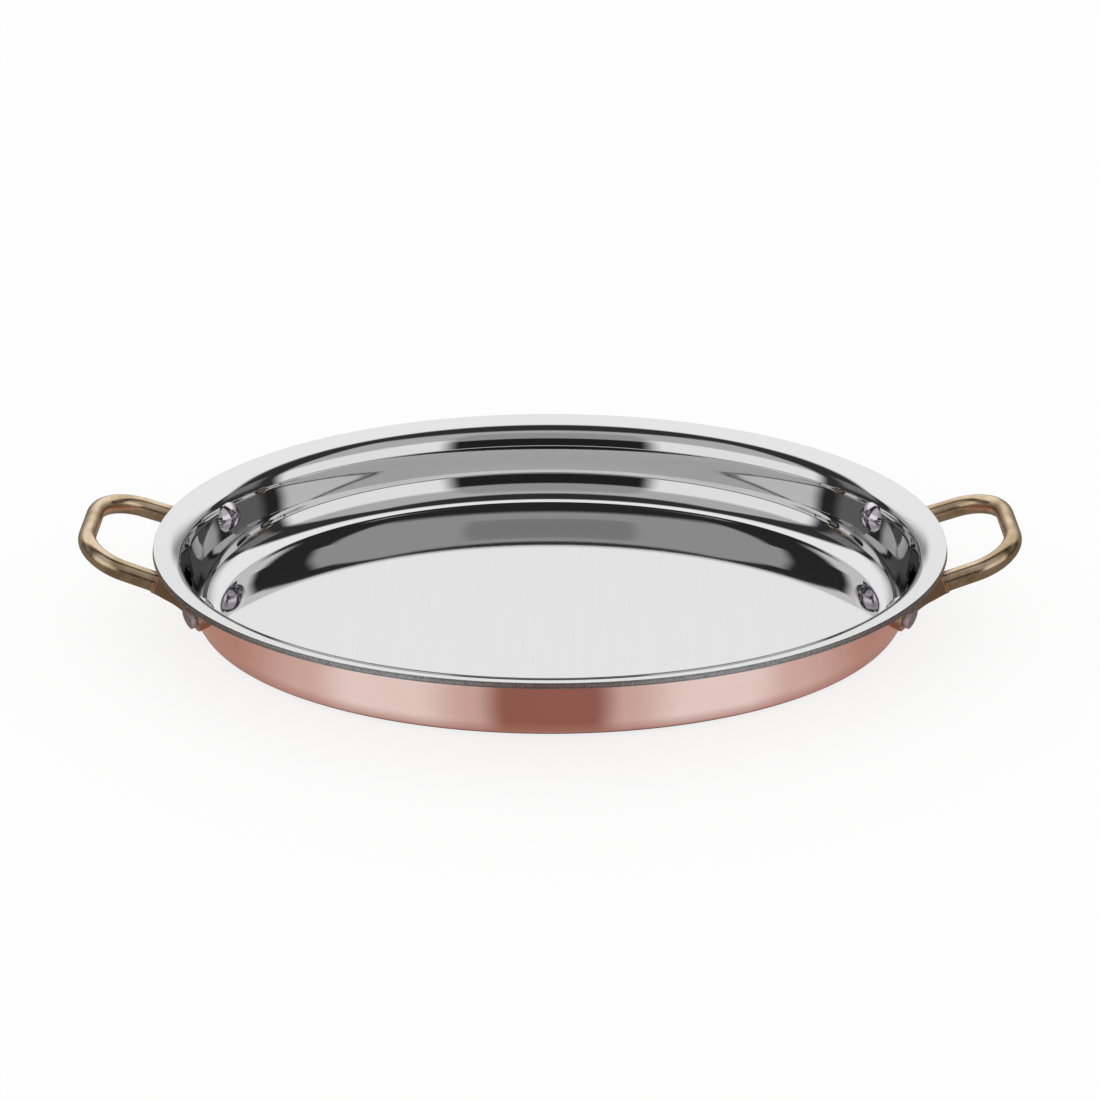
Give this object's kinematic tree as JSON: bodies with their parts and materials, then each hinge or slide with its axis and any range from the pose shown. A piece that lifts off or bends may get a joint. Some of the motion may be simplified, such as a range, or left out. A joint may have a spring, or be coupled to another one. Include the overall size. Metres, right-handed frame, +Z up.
{
  "type": "oval omelette pan",
  "caption": "Low oval stovetop pan of clad sheet, copper outside and polished steel inside, with a flared lip and a riveted cast brass loop handle at each end.",
  "frame": {"origin": "centre of the flat standing face, on the surface that the pan stands on", "axes": "+X along the long axis through both handles, +Y across the pan to the rear, +Z up"},
  "size_m": [0.3546, 0.2072, 0.0419],
  "materials": {
    "copper": "polished copper, lightly satined",
    "core": "sheared and deburred edge",
    "lining": "mirror polished wall, fine satin floor",
    "handle": "cast and polished, lightly toned",
    "rivet": "polished heads"
  },
  "bodies": {
    "root": {"copper_shell": "copper", "aluminium_core": "core", "steel_lining": "lining", "handle_left": "handle", "handle_right": "handle", "rivet_left_front": "rivet", "rivet_left_rear": "rivet", "rivet_right_front": "rivet", "rivet_right_rear": "rivet"}
  },
  "joints": []
}
